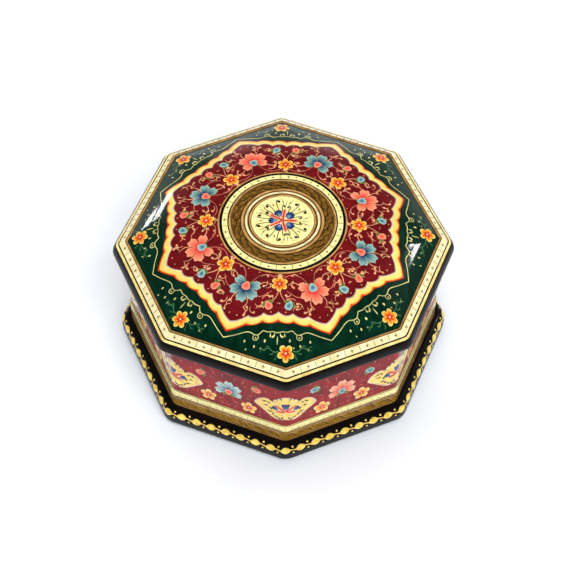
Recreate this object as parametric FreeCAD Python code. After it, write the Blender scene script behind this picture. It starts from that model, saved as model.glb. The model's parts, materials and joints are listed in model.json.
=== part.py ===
import FreeCAD, Part
import math
import os

# Eight-sided box with a lift-off lid. Millimetres, +Z up, z = 0 under the felt.
# The eight corners point along +X, -X, +Y and -Y and half way between them.
# An "apothem" is the distance from the axis to the middle of a flat side.
SIDES = 8
HALF = math.radians(180.0 / SIDES)
TURN = 360.0 / SIDES
FIRST_SIDE = 22.5

# Foot
FELT_TOP = 0.6
FELT_APOTHEM = 62.0
PLINTH_TOP = 9.5
PLINTH_APOTHEM = 67.1
PLINTH_CORNER = 8.0
PLINTH_TOP_ROUND = 4.2
PLINTH_LOW_ROUND = 2.0

# Body walls
WALL_OUTER = 62.36
WALL_THICK = 6.0
WALL_CORNER = 4.0
WALL_TOP = 53.6
REBATE_DEEP = 0.8
BAND_PROUD = 0.4
BAND_TOP = 16.4
STRIP_TOP = 20.2

# Velvet lining of the box
LINING_THICK = 1.2
FLOOR_LINING_TOP = 11.0
WALL_LINING_TOP = 47.5

# Lid
SEAT_GAP = 0.3
LID_UNDER = WALL_TOP + SEAT_GAP
LID_OUTER = 67.97
LID_LOW_ROUND = 1.56
LID_SHOULDER = 5.4
LID_CORNER_AXIS = 62.0
STRIP_OUTER = 64.84
STRIP_INNER = 62.36
STRIP_OUTER_Z = 60.36
STRIP_INNER_Z = 62.0
STRIP_THICK = 1.2
INNER_STRING_TOP = 62.1
STRING_FROM = 58.7
STRING_TO = 47.0
STRING_DEEP = 0.6
STRING_PROUD = 0.1
DOME_APOTHEM = 61.1
DOME_SEAT = 57.5
DOME_RIM = 62.2
DOME_TOP = 74.8
DOME_POWER = 3.2
DOME_LEVELS = (1.0, 0.95, 0.88, 0.79, 0.68, 0.56, 0.43, 0.3, 0.2, 0.12)
DOME_STEPS = 6
RIM_CLEARANCE = 0.4
RIM_THICK = 2.6
RIM_BOTTOM = 48.6
LID_LINING_UNDER = 56.3

WALL_INNER = WALL_OUTER - WALL_THICK
RIM_OUTER = WALL_INNER - RIM_CLEARANCE
RIM_INNER = RIM_OUTER - RIM_THICK
BAND_INNER = WALL_OUTER - REBATE_DEEP
BAND_OUTER = WALL_OUTER + BAND_PROUD
FLAT_AXIS = FreeCAD.Vector(0, 0, 1)
ORIGIN = FreeCAD.Vector(0, 0, 0)


def at(apothem, z):
    return FreeCAD.Vector(apothem, 0, z)


def outline(points):
    """Closed flat profile in the XZ plane; an arc is written as (middle, end)."""
    edges = []
    here = points[0]
    for step in points[1:]:
        if isinstance(step[0], tuple):
            middle, end = step
            edges.append(Part.Arc(at(*here), at(*middle), at(*end)).toShape())
            here = end
        else:
            edges.append(Part.makeLine(at(*here), at(*step)))
            here = step
    if math.dist(here, points[0]) > 1e-6:
        edges.append(Part.makeLine(at(*here), at(*points[0])))
    return Part.Face(Part.Wire(edges))


def sector():
    """Wedge of space that belongs to one side, centred on +X."""
    reach = 200.0
    spread = reach * math.tan(HALF)
    corners = [ORIGIN, FreeCAD.Vector(reach, -spread, 0), FreeCAD.Vector(reach, spread, 0), ORIGIN]
    return Part.Face(Part.makePolygon(corners)).extrude(FreeCAD.Vector(0, 0, reach))


def side_piece(profile, corner):
    """Run a profile along one side and round it about the corner axes at each end."""
    half_run = corner * math.tan(HALF)
    run = profile.copy()
    run.translate(FreeCAD.Vector(0, -half_run, 0))
    piece = run.extrude(FreeCAD.Vector(0, 2 * half_run, 0)).common(sector())
    if profile.BoundBox.XMax > corner + 1e-6:
        keep = Part.makeBox(200, 1, 200, FreeCAD.Vector(corner, -0.5, 0))
        outer = profile.common(keep).Faces[0]
        for way in (1, -1):
            end = outer.copy()
            end.translate(FreeCAD.Vector(0, way * half_run, 0))
            axis = FreeCAD.Vector(corner, way * half_run, 0)
            piece = piece.fuse(end.revolve(axis, FLAT_AXIS, way * math.degrees(HALF)))
        piece = piece.removeSplitter()
    return piece.Solids[0] if piece.Solids else piece


def on_side(piece, index):
    turned = piece.copy()
    turned.rotate(ORIGIN, FLAT_AXIS, FIRST_SIDE + index * TURN)
    return turned


def octagon(apothem, corner, z):
    """Eight-sided wire with rounded corners."""
    centre_line = apothem - corner
    half_run = centre_line * math.tan(HALF)
    edges = []
    for index in range(SIDES):
        angle = math.radians(FIRST_SIDE + index * TURN)

        def place(out, along, turn=0.0):
            c, s = math.cos(angle + turn), math.sin(angle + turn)
            x = out * math.cos(angle) - along * math.sin(angle)
            y = out * math.sin(angle) + along * math.cos(angle)
            return FreeCAD.Vector(x + corner * c, y + corner * s, z)

        start = place(centre_line, -half_run)
        end = place(centre_line, half_run)
        edges.append(Part.makeLine(start, end))
        middle = place(centre_line, half_run, HALF)
        last = place(centre_line, half_run, 2 * HALF)
        edges.append(Part.Arc(end, middle, last).toShape())
    return Part.Wire(edges)


def board(apothem, corner, z_low, z_high):
    face = Part.Face(octagon(apothem, corner, z_low))
    return face.extrude(FreeCAD.Vector(0, 0, z_high - z_low))


def save(name, shape):
    shape.exportStep("parts/%s.step" % name)


def save_ring(name, piece):
    for index in range(SIDES):
        save("%s_%d" % (name, index + 1), on_side(piece, index))


def rounded_plinth():
    solid = board(PLINTH_APOTHEM, PLINTH_CORNER, FELT_TOP, PLINTH_TOP)
    for level, radius in ((PLINTH_TOP, PLINTH_TOP_ROUND), (FELT_TOP, PLINTH_LOW_ROUND)):
        rim = [e for e in solid.Edges if e.BoundBox.ZLength < 1e-6 and abs(e.BoundBox.ZMin - level) < 1e-6]
        solid = solid.makeFillet(radius, rim)
    return solid


def rectangle(inner, outer, z_low, z_high):
    return outline([(inner, z_low), (outer, z_low), (outer, z_high), (inner, z_high)])


def wall_profile():
    return outline([
        (WALL_INNER, PLINTH_TOP),
        (BAND_INNER, PLINTH_TOP),
        (BAND_INNER, STRIP_TOP),
        (WALL_OUTER, STRIP_TOP),
        (WALL_OUTER, WALL_TOP),
        (WALL_INNER, WALL_TOP),
    ])


def shoulder(degrees, change=0.0):
    """Point on the rounded shoulder of the lid; 0 is level, 90 is on top."""
    reach = LID_SHOULDER + change
    angle = math.radians(degrees)
    centre = LID_OUTER - LID_SHOULDER
    level = LID_UNDER + LID_LOW_ROUND
    return (centre + reach * math.cos(angle), level + reach * math.sin(angle))


def shoulder_end():
    """Angle at which the shoulder reaches the border strip."""
    return math.degrees(math.acos((STRIP_OUTER - LID_OUTER + LID_SHOULDER) / LID_SHOULDER))


def rail_profile():
    low = LID_UNDER + LID_LOW_ROUND
    bend = LID_LOW_ROUND * math.sin(math.radians(45))
    under_curve = (LID_OUTER - LID_LOW_ROUND + bend, low - bend)
    top = shoulder_end()
    return outline([
        (RIM_OUTER, LID_UNDER),
        (LID_OUTER - LID_LOW_ROUND, LID_UNDER),
        (under_curve, (LID_OUTER, low)),
        (shoulder(STRING_TO / 2), shoulder(STRING_TO)),
        shoulder(STRING_TO, -STRING_DEEP),
        (shoulder((STRING_TO + STRING_FROM) / 2, -STRING_DEEP), shoulder(STRING_FROM, -STRING_DEEP)),
        shoulder(STRING_FROM),
        (shoulder((STRING_FROM + top) / 2), shoulder(top)),
        (STRIP_OUTER, STRIP_OUTER_Z - STRIP_THICK),
        (STRIP_INNER, STRIP_INNER_Z - STRIP_THICK),
        (DOME_APOTHEM, STRIP_INNER_Z - STRIP_THICK),
        (DOME_APOTHEM, DOME_SEAT),
        (RIM_OUTER, DOME_SEAT),
    ])


def outer_string_profile():
    """Curved strip let into the shoulder; the last arc closes it along its underside."""
    middle = (STRING_TO + STRING_FROM) / 2
    return outline([
        shoulder(STRING_TO, -STRING_DEEP),
        shoulder(STRING_TO, STRING_PROUD),
        (shoulder(middle, STRING_PROUD), shoulder(STRING_FROM, STRING_PROUD)),
        shoulder(STRING_FROM, -STRING_DEEP),
        (shoulder(middle, -STRING_DEEP), shoulder(STRING_TO, -STRING_DEEP)),
    ])


def strip_profile():
    return outline([
        (STRIP_INNER, STRIP_INNER_Z - STRIP_THICK),
        (STRIP_OUTER, STRIP_OUTER_Z - STRIP_THICK),
        (STRIP_OUTER, STRIP_OUTER_Z),
        (STRIP_INNER, STRIP_INNER_Z),
    ])


def inner_string_profile():
    return rectangle(DOME_APOTHEM, STRIP_INNER, STRIP_INNER_Z - STRIP_THICK, INNER_STRING_TOP)


def closed_ring(piece):
    ring = on_side(piece, 0)
    for index in range(1, SIDES):
        ring = ring.fuse(on_side(piece, index))
    return ring.removeSplitter()


def crown_point(side, offset, level):
    """Point on the crown: level runs from 0 at the middle to 1 at the rim."""
    apothem = DOME_APOTHEM * level
    corner = apothem * (1.0 - level ** 3)
    centre = apothem - corner
    half_run = centre * math.tan(HALF)
    if apothem * math.tan(abs(offset)) <= half_run:
        reach = apothem / math.cos(offset)
    else:
        along = centre * math.cos(offset) + half_run * math.sin(abs(offset))
        spare = along ** 2 - centre ** 2 - half_run ** 2 + corner ** 2
        reach = along + math.sqrt(max(spare, 0.0))
    angle = math.radians(FIRST_SIDE + side * TURN) + offset
    z = DOME_RIM + (DOME_TOP - DOME_RIM) * (1.0 - level ** DOME_POWER)
    return FreeCAD.Vector(reach * math.cos(angle), reach * math.sin(angle), z)


def crown_patch(side):
    offsets = [HALF * step / DOME_STEPS for step in range(-DOME_STEPS, DOME_STEPS + 1)]
    grid = [[crown_point(side, offset, level) for offset in offsets] for level in DOME_LEVELS]
    surface = Part.BSplineSurface()
    surface.interpolate(grid)
    return surface.toShape()


def dome():
    """Crowned panel: sharp eight-sided rim changing to a round crown."""
    faces = [crown_patch(side) for side in range(SIDES)]
    edges = [edge for face in faces for edge in face.Edges]
    inner = [e for e in edges if e.BoundBox.ZMin > DOME_TOP - 0.1 and e.BoundBox.ZLength < 1e-4]
    faces.append(Part.Face(Part.Wire(Part.__sortEdges__(inner))))
    rim = [crown_point(side, -HALF, 1.0) for side in range(SIDES)]
    rim.append(rim[0])
    drop = FreeCAD.Vector(0, 0, DOME_SEAT - DOME_RIM)
    for start, end in zip(rim, rim[1:]):
        faces.append(Part.Face(Part.makePolygon([start, end, end + drop, start + drop, start])))
    faces.append(Part.Face(Part.makePolygon([corner + drop for corner in rim])))
    skin = Part.Compound(faces)
    skin.sewShape(0.001)
    return Part.Solid(skin.Shells[0])


def main():
    os.makedirs("parts", exist_ok=True)
    save("base_felt", board(FELT_APOTHEM, PLINTH_CORNER, 0.0, FELT_TOP))
    save("plinth_board", rounded_plinth())

    wall_axis = WALL_OUTER - WALL_CORNER
    save_ring("wall_panel", side_piece(wall_profile(), wall_axis))
    band = rectangle(BAND_INNER, BAND_OUTER, PLINTH_TOP, BAND_TOP)
    save_ring("khatam_band", side_piece(band, wall_axis))
    strip = rectangle(BAND_INNER, BAND_OUTER, BAND_TOP, STRIP_TOP)
    save_ring("foot_strip", side_piece(strip, wall_axis))

    save("floor_lining", board(WALL_INNER, 0.5, PLINTH_TOP, FLOOR_LINING_TOP))
    lining = rectangle(WALL_INNER - LINING_THICK, WALL_INNER, FLOOR_LINING_TOP, WALL_LINING_TOP)
    save_ring("wall_lining", side_piece(lining, WALL_INNER))

    save_ring("lid_rail", side_piece(rail_profile(), LID_CORNER_AXIS))
    save_ring("lid_border_strip", side_piece(strip_profile(), LID_CORNER_AXIS))
    save("lid_outer_string", closed_ring(side_piece(outer_string_profile(), LID_CORNER_AXIS)))
    save("lid_inner_string", closed_ring(side_piece(inner_string_profile(), LID_CORNER_AXIS)))
    save("lid_dome", dome())
    rim = board(RIM_OUTER, 0.5, RIM_BOTTOM, DOME_SEAT).cut(board(RIM_INNER, 0.5, RIM_BOTTOM, DOME_SEAT))
    save("lid_locating_rim", rim)
    save("lid_lining", board(RIM_INNER, 0.5, LID_LINING_UNDER, DOME_SEAT))


main()
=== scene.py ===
import json
import random
from math import atan2, cos, pi, radians, sin, tan
import bpy
import numpy as np
from mathutils import Matrix, Vector


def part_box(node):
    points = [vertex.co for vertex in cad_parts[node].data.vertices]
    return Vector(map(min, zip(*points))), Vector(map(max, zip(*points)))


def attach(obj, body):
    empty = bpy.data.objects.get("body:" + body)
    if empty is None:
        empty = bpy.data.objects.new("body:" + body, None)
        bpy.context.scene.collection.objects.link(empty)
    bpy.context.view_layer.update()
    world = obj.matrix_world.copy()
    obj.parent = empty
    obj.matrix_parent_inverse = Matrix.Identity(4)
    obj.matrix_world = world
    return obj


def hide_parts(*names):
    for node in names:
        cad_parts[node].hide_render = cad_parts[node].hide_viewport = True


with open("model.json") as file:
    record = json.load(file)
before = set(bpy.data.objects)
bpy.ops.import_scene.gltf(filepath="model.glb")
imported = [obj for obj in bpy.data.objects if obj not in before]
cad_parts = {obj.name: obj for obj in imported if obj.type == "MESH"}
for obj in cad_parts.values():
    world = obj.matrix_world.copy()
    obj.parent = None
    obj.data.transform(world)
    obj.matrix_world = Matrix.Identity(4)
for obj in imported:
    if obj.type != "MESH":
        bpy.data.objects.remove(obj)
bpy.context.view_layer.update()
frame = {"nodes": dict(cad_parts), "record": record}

MM = 0.001
SIDES = 8
HALF = pi / SIDES
EIGHTH = 2 * HALF
FULL = 2 * pi
rng = random.Random(11)


def top_of(node):
    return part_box(node)[1][2] / MM


# ---- sizes in millimetres, most read from the frame
DOME_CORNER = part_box("lid_dome")[1][0] / MM
DOME_SIDE = DOME_CORNER * cos(HALF)
DOME_TOP = top_of("lid_dome")
DOME_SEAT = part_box("lid_dome")[0][2] / MM
STRING_TOP = top_of("lid_inner_string")
DOME_RIM = STRING_TOP + 0.1
DOME_POWER = 3.2
WALL_ROUND = 4.0
WALL_SIDE = (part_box("wall_panel_1")[1][0] / MM - WALL_ROUND) * cos(HALF) + WALL_ROUND
BAND_PROUD = 0.4
BAND_ROUND = WALL_ROUND + BAND_PROUD
BAND_SIDE = WALL_SIDE + BAND_PROUD
BAND_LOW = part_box("khatam_band_1")[0][2] / MM
BAND_TOP = top_of("khatam_band_1")
STRIP_TOP = top_of("foot_strip_1")
PLINTH_ROUND = 8.0
PLINTH_EDGE = 4.2
PLINTH_SIDE = (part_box("plinth_board")[1][0] / MM - PLINTH_ROUND) * cos(HALF) + PLINTH_ROUND
PLINTH_TOP = top_of("plinth_board")
BEAD_TILT = radians(27)
BEAD_REACH = PLINTH_EDGE * cos(BEAD_TILT)
BEAD_ROUND = PLINTH_ROUND - PLINTH_EDGE + BEAD_REACH
BORDER_TOP = top_of("lid_border_strip_1")
BORDER_INNER, BORDER_MIDDLE, BORDER_OUTER = 62.36, 63.6, 64.84
BORDER_LOW = 60.36
BORDER_SLOPE = atan2(BORDER_TOP - BORDER_LOW, BORDER_OUTER - BORDER_INNER)
# The hand-painted pattern is turned on the crown and sits a little to one side of its middle.
TURN = radians(-3.0)
SHIFT_X, SHIFT_Y = -0.45, 0.15


# ---- surfaces that the painting lies on
HALVINGS = 34


def level_reach(offset, level):
    """Distance from the middle to a level line of the crown, at an angle from a side's middle."""
    side = DOME_SIDE * level
    corner = side * (1.0 - level ** 3)
    centre = side - corner
    run = centre * tan(HALF)
    offset = np.abs(offset)
    along = centre * np.cos(offset) + run * np.sin(offset)
    spare = np.maximum(along ** 2 - centre ** 2 - run ** 2 + corner ** 2, 0.0)
    return np.where(side * np.tan(offset) <= run, side / np.cos(offset), along + np.sqrt(spare))


def crown_height(x, y):
    """Height of the crown, by halving the range of level lines that a point can lie on."""
    reach = np.hypot(x, y)
    offset = np.arctan2(y, x) % EIGHTH - HALF
    low = np.zeros_like(reach)
    high = np.ones_like(reach)
    for _ in range(HALVINGS):
        middle = (low + high) / 2
        inside = level_reach(offset, middle) < reach
        low = np.where(inside, middle, low)
        high = np.where(inside, high, middle)
    return DOME_RIM + (DOME_TOP - DOME_RIM) * (1.0 - low ** DOME_POWER)


def on_crown(x, y, lift):
    """Points over the crown and its normals there."""
    step = 0.05
    z = crown_height(x, y)
    slope_x = (crown_height(x + step, y) - crown_height(x - step, y)) / (2 * step)
    slope_y = (crown_height(x, y + step) - crown_height(x, y - step)) / (2 * step)
    normal = np.stack([-slope_x, -slope_y, np.ones_like(z)], 1)
    normal /= np.linalg.norm(normal, axis=1)[:, None]
    return np.stack([x, y, z], 1) + normal * lift, normal


def on_pattern(x, y, lift):
    return on_crown(x + SHIFT_X, y + SHIFT_Y, lift)


def contour(u, side, rounding):
    """Point and outward normal at a distance u along a rounded outline, from the middle of side one."""
    centre = side - rounding
    run = centre * tan(HALF)
    way = np.sign(u)
    past = np.abs(u) - run
    bend = np.clip(past / rounding, 0.0, EIGHTH)
    after = np.maximum(past - rounding * EIGHTH, 0.0)
    x = np.where(past <= 0, side, centre + rounding * np.cos(bend) - after * sin(EIGHTH))
    y = np.where(past <= 0, u, way * (run + rounding * np.sin(bend) + after * cos(EIGHTH)))
    return x, y, np.cos(bend), way * np.sin(bend)


def turned(x, y, angle):
    return x * cos(angle) - y * sin(angle), x * sin(angle) + y * cos(angle)


def turned_side(index, x, y, z, nx, ny, nz):
    """Points and normals that are given facing +X, turned to face out from one side."""
    angle = HALF + index * EIGHTH
    x, y = turned(x, y, angle)
    nx, ny = turned(nx, ny, angle)
    return np.stack([x, y, z], 1), np.stack([nx, ny, nz], 1)


def on_wall(index, side, rounding):
    """Upright surface of one side: u along it, z up."""
    def place(u, z, lift):
        x, y, nx, ny = contour(u, side, rounding)
        return turned_side(index, x + nx * lift, y + ny * lift, z, nx, ny, 0 * nx)
    return place


def on_border(index):
    """Sloping top of the pale lid strip: v along the side, a outwards from the axis."""
    def place(v, a, lift):
        out, up = np.full_like(v, sin(BORDER_SLOPE)), np.full_like(v, cos(BORDER_SLOPE))
        z = BORDER_TOP - (a - BORDER_INNER) * tan(BORDER_SLOPE) + lift * up
        return turned_side(index, a + lift * out, -v, z, out, 0 * v, up)
    return place


def on_string(index):
    """Flat top of the fine line round the crown: v along the side, a outwards from the axis."""
    def place(v, a, lift):
        return turned_side(index, a, -v, np.full_like(v, STRING_TOP + lift), 0 * v, 0 * v, np.ones_like(v))
    return place


def on_plinth(index):
    """Rounded top edge of the plinth: u along the side, w up the rounding from the line of beads."""
    def place(u, w, lift):
        tilt = BEAD_TILT + w / PLINTH_EDGE
        x, y, nx, ny = contour(u, PLINTH_SIDE - PLINTH_EDGE + BEAD_REACH, BEAD_ROUND)
        out = (PLINTH_EDGE + lift) * np.cos(tilt) - BEAD_REACH
        z = PLINTH_TOP - PLINTH_EDGE + (PLINTH_EDGE + lift) * np.sin(tilt)
        x, y = x + nx * out, y + ny * out
        return turned_side(index, x, y, z, nx * np.cos(tilt), ny * np.cos(tilt), np.sin(tilt))
    return place


# ---- finishes
NOISE_LOW, NOISE_HIGH = 0.3, 0.7
ROUGH_SPREAD = 0.08
BUMP_DEPTH = 0.0002


def rgb(red, green, blue):
    """Linear colour from red, green and blue on the usual scale of 0 to 255."""
    def linear(value):
        value /= 255.0
        return value / 12.92 if value <= 0.04045 else ((value + 0.055) / 1.055) ** 2.4
    return (linear(red), linear(green), linear(blue), 1.0)


def two_tone(dark, light):
    """Colour stops for a finish that mottles between two colours."""
    return [(NOISE_LOW, rgb(*dark)), (NOISE_HIGH, rgb(*light))]


def even(*colour):
    """Colour stops for a paint that only mottles a little about one colour."""
    return two_tone([0.86 * c for c in colour], [min(1.1 * c, 255) for c in colour])


def fill_ramp(ramp, stops):
    elements = ramp.color_ramp.elements
    while len(elements) < len(stops):
        elements.new(0.5)
    for element, (place, colour) in zip(elements, stops):
        element.position = place
        element.color = colour


class Nodes:
    """Node tree whose inputs are filled with values or with other nodes' outputs."""

    def __init__(self, owner):
        owner.use_nodes = True
        self.tree = owner.node_tree

    def add(self, kind, inputs=(), **settings):
        node = self.tree.nodes.new("ShaderNode" + kind)
        for name, value in settings.items():
            setattr(node, name, value)
        self.fill(node, inputs)
        return node

    def fill(self, node, inputs):
        for name, value in dict(inputs).items():
            if isinstance(value, bpy.types.NodeSocket):
                self.tree.links.new(value, node.inputs[name])
            else:
                node.inputs[name].default_value = value


def finish(name, stops, rough=0.42, coat=1.0, metallic=0.0, mottle=0.12, grain=260.0, bump=0.02,
           stretch=(1, 1, 1), by_shade=False, sheen=0.0, coat_ior=1.32):
    """Layered paint or lacquer: colour with mottling, uneven roughness, fine bump and a clear coat."""
    material = bpy.data.materials.new(name)
    nodes = Nodes(material)
    where = nodes.add("TexCoord").outputs["Object"]
    mapping = nodes.add("Mapping", {"Scale": stretch, "Vector": where})
    noise = nodes.add("TexNoise", {"Scale": grain, "Detail": 5.0, "Vector": mapping.outputs["Vector"]})
    speck = noise.outputs["Fac"]
    shade = nodes.add("Attribute", attribute_name="shade").outputs["Fac"] if by_shade else speck
    ramp = nodes.add("ValToRGB", {"Fac": shade})
    fill_ramp(ramp, stops)
    tone = nodes.add("MapRange", {"Value": speck, "From Min": NOISE_LOW, "From Max": NOISE_HIGH,
                                  "To Min": 1.0 - mottle, "To Max": 1.0 + mottle})
    scaling = {0: ramp.outputs["Color"], "Scale": tone.outputs["Result"]}
    colour = nodes.add("VectorMath", scaling, operation="SCALE")
    worn = nodes.add("MapRange", {"Value": speck, "To Min": rough - ROUGH_SPREAD,
                                  "To Max": min(rough + ROUGH_SPREAD, 1.0)})
    relief = nodes.add("Bump", {"Strength": bump, "Distance": BUMP_DEPTH, "Height": speck})
    settings = {"Base Color": colour.outputs["Vector"], "Roughness": worn.outputs["Result"],
                "Normal": relief.outputs["Normal"], "Metallic": metallic, "Coat Weight": coat,
                "Coat Roughness": 0.045, "Coat IOR": coat_ior, "Specular IOR Level": 0.12 if coat else 0.3}
    if sheen:
        settings.update({"Sheen Weight": sheen, "Sheen Roughness": 0.35})
    nodes.fill(nodes.tree.nodes["Principled BSDF"], settings)
    return material


def shaded(name, *stops, **more):
    """Paint whose colour follows the shade of its shapes; each stop is a shade, red, green and blue."""
    return finish(name, [(place, rgb(*colour)) for place, *colour in stops], by_shade=True, **more)


GREEN = finish("green_lacquer", [(0.25, rgb(0, 27, 16)), (0.75, rgb(2, 47, 31))], stretch=(1, 0.22, 1),
               grain=420, coat=0.7, coat_ior=1.25)
MAROON = finish("maroon_paint", even(105, 13, 19), mottle=0.1)
WALL_RED = finish("wall_red_lacquer", even(140, 17, 23), mottle=0.14, grain=180, coat_ior=1.18)
YELLOW = shaded("gold_leaf_paint", (0.0, 222, 190, 120), (0.14, 250, 225, 138), (0.76, 252, 218, 111),
                (0.93, 246, 196, 84), (1.0, 236, 160, 60), rough=0.34, metallic=0.1, mottle=0.1, grain=330,
                bump=0.06)
RED_LINE = finish("red_line_paint", two_tone((200, 42, 18), (228, 72, 26)), mottle=0.15)
GREY_LINE = finish("grey_line_paint", even(196, 170, 158))
CREAM = finish("cream_inlay", two_tone((237, 222, 138), (252, 243, 174)), mottle=0.05, grain=500)
BONE = finish("bone_inlay", two_tone((234, 214, 156), (249, 236, 190)), mottle=0.05, grain=380)
BROWN = finish("khatam_brown", two_tone((96, 64, 18), (138, 98, 34)), mottle=0.16, grain=700, metallic=0.25,
               rough=0.35)
DEEP_BRONZE = finish("deep_bronze_line", two_tone((150, 108, 50), (190, 146, 84)), metallic=0.12, rough=0.35)
BRONZE = finish("bronze_line", two_tone((172, 124, 62), (212, 166, 100)), metallic=0.12, rough=0.35)
GOLD = finish("gold_line", two_tone((206, 150, 54), (244, 200, 104)), metallic=0.15, rough=0.3, bump=0.05)
PALE_GOLD = finish("pale_gold_line", two_tone((244, 206, 116), (254, 234, 158)), metallic=0.1, rough=0.3)
STREAK = finish("brown_streaks", two_tone((134, 94, 28), (170, 126, 46)), metallic=0.15, rough=0.35)
SCROLL_GREEN = finish("scroll_green", even(70, 118, 74))
FOOT = finish("foot_gold_brown", two_tone((120, 84, 12), (164, 120, 28)), coat_ior=1.2, metallic=0.15,
              rough=0.34, grain=500)
BLACK = finish("black_lacquer", two_tone((9, 7, 7), (17, 13, 13)), grain=150, bump=0.012, coat=0.4,
               coat_ior=1.22)
INK = finish("dark_ink", even(38, 26, 18))
PEACH = finish("peach_strokes", even(226, 160, 116), mottle=0.15)
PALE = finish("pale_gold_strokes", even(214, 206, 130))
ROSE = finish("rose_strokes", even(190, 92, 88), mottle=0.15)
BLUE_PETAL = shaded("blue_petals", (0.3, 24, 44, 86), (0.48, 66, 104, 120), (0.76, 116, 154, 150),
                    (1.0, 152, 184, 170))
CORAL_PETAL = shaded("coral_petals", (0.25, 206, 36, 48), (0.5, 238, 98, 74), (0.8, 246, 134, 100),
                     (1.0, 250, 160, 124))
WALL_CORAL = shaded("wall_coral_petals", (0.25, 210, 44, 52), (0.45, 238, 110, 88), (0.75, 248, 158, 128),
                    (1.0, 252, 192, 162))
WALL_BLUE = shaded("wall_blue_petals", (0.25, 44, 80, 118), (0.45, 104, 146, 158), (0.75, 168, 196, 194),
                   (1.0, 196, 216, 210))
WALL_YELLOW = shaded("wall_yellow_petals", (0.2, 196, 44, 14), (0.42, 236, 124, 40), (0.7, 250, 188, 84),
                     (0.97, 254, 228, 156))
CORAL_BUD = shaded("coral_buds", (0.1, 228, 70, 58), (0.5, 240, 108, 84), (1.0, 250, 156, 124))
ORANGE_PETAL = shaded("orange_petals", (0.2, 140, 18, 10), (0.44, 222, 84, 16), (0.74, 244, 156, 44),
                      (0.97, 252, 216, 112))
LEAF = shaded("leaf_green", (0.0, 34, 72, 36), (1.0, 120, 140, 62))
TEAL_BUD = shaded("teal_buds", (0.1, 52, 90, 118), (0.45, 98, 150, 158), (0.85, 146, 184, 178),
                  (1.0, 192, 212, 202))
PINK_EDGE = finish("pink_edge", even(236, 196, 166), mottle=0.08)
ROSE_VINE = finish("rose_vines", even(200, 112, 92))
BEAD_LINK = finish("bead_links", two_tone((214, 160, 70), (244, 206, 110)), metallic=0.2, rough=0.32)
CREAM_WALL = finish("wall_cream_paint", two_tone((236, 196, 96), (250, 222, 128)), mottle=0.08, grain=420)
BEAD = finish("bead_gold", two_tone((230, 184, 60), (252, 230, 122)), metallic=0.2, rough=0.32,
              mottle=0.1, grain=600)
DOT = finish("pink_dots", even(250, 214, 196))
STAR_RED = finish("star_red", even(224, 52, 44))
HALO = finish("star_halo", even(248, 168, 132))
DISC_BLUE = shaded("disc_blue", (0.0, 150, 176, 196), (0.45, 44, 84, 134), (0.85, 18, 44, 92))
FELT = finish("base_felt", two_tone((14, 22, 18), (34, 46, 38)), rough=0.95, coat=0.0, grain=900, mottle=0.25,
              bump=0.7, sheen=0.4)
VELVET = finish("red_velvet", two_tone((84, 6, 18), (128, 14, 32)), rough=0.9, coat=0.0, grain=1100,
                mottle=0.2, bump=0.5, sheen=0.7)


# ---- shapes, drawn flat
# A shape is its points, its faces and a shade from 0 to 1 for each point.
def polar(reach, angle):
    return reach * cos(angle), reach * sin(angle)


def aside(reach, axis, way, degrees):
    """Flat point at a distance, some degrees to one side of an axis."""
    return polar(reach, axis + way * radians(degrees))


def polar_line(reach, angles):
    return np.stack([reach * np.cos(angles), reach * np.sin(angles)], 1)


def spline(points, steps=8):
    """Smooth line through the given points."""
    points = [np.array(p, float) for p in points]
    ends = [2 * points[0] - points[1]] + points + [2 * points[-1] - points[-2]]
    line = []
    for a, b, c, d in zip(ends, ends[1:], ends[2:], ends[3:]):
        for step in range(steps):
            t = step / steps
            line.append(0.5 * (2 * b + (c - a) * t + (2 * a - 5 * b + 4 * c - d) * t ** 2
                               + (3 * b - a - 3 * c + d) * t ** 3))
    line.append(points[-1])
    return np.array(line)


def fan(outline, rings, centre=(0, 0), closed=True):
    """Filled star-shaped outline; its shade runs from 0 in the middle to 1 at the edge."""
    outline = np.asarray(outline, float)
    count = len(outline)
    centre = np.array(centre, float)
    points, shades, faces = [centre], [0.0], []
    for ring in range(1, rings + 1):
        part = ring / rings
        points += list(centre + (outline - centre) * part)
        shades += [part] * count
    spans = count if closed else count - 1
    for k in range(spans):
        after = (k + 1) % count
        faces.append((0, 1 + k, 1 + after))
        for ring in range(1, rings):
            low = 1 + (ring - 1) * count
            high = low + count
            faces.append((low + k, high + k, high + after, low + after))
    return np.array(points), faces, shades


def ribbon(line, width):
    """Brush stroke along a line; width is one number or one for each point."""
    line = np.asarray(line, float)
    width = np.broadcast_to(np.asarray(width, float), (len(line),))
    along = np.gradient(line, axis=0)
    along /= np.maximum(np.linalg.norm(along, axis=1), 1e-9)[:, None]
    side = np.stack([-along[:, 1], along[:, 0]], 1) * (np.maximum(width, 0.03) / 2)[:, None]
    points = np.concatenate([line - side, line + side])
    count = len(line)
    faces = [(k, k + 1, count + k + 1, count + k) for k in range(count - 1)]
    return points, faces, list(np.linspace(0, 1, count)) * 2


def comma(length, curl, width, steps=12):
    """Brush stroke that starts thin at the origin along +X, swells and curls over at its end."""
    t = np.linspace(0, 1, steps)
    heading = curl * t ** 1.6
    step = length / (steps - 1)
    strides = polar_line(1.0, heading[:-1]) * step
    line = np.concatenate([[[0, 0]], np.cumsum(strides, axis=0)])
    return ribbon(line, width * (0.26 + 0.74 * np.sin(np.pi * np.minimum(t, 0.999) ** 2.2)))


def curl_stroke(length, bend, width, steps=14):
    """Thin curling stroke that ends in a small round head."""
    t = np.linspace(0, 1, steps)
    heading = bend * (t ** 1.6) - bend * 0.2
    stride = length / (steps - 1)
    line = np.cumsum(polar_line(1.0, heading) * stride, axis=0)
    grow = 0.35 + 0.65 * t + 1.5 * np.exp(-((t - 0.9) / 0.11) ** 2)
    grow[-1] *= 0.55
    return ribbon(line, width * grow)


def circle(radius, count):
    return polar_line(radius, np.arange(count) * FULL / count)


def spot(radius, count=7):
    return fan(circle(radius, count), 1)


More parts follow.
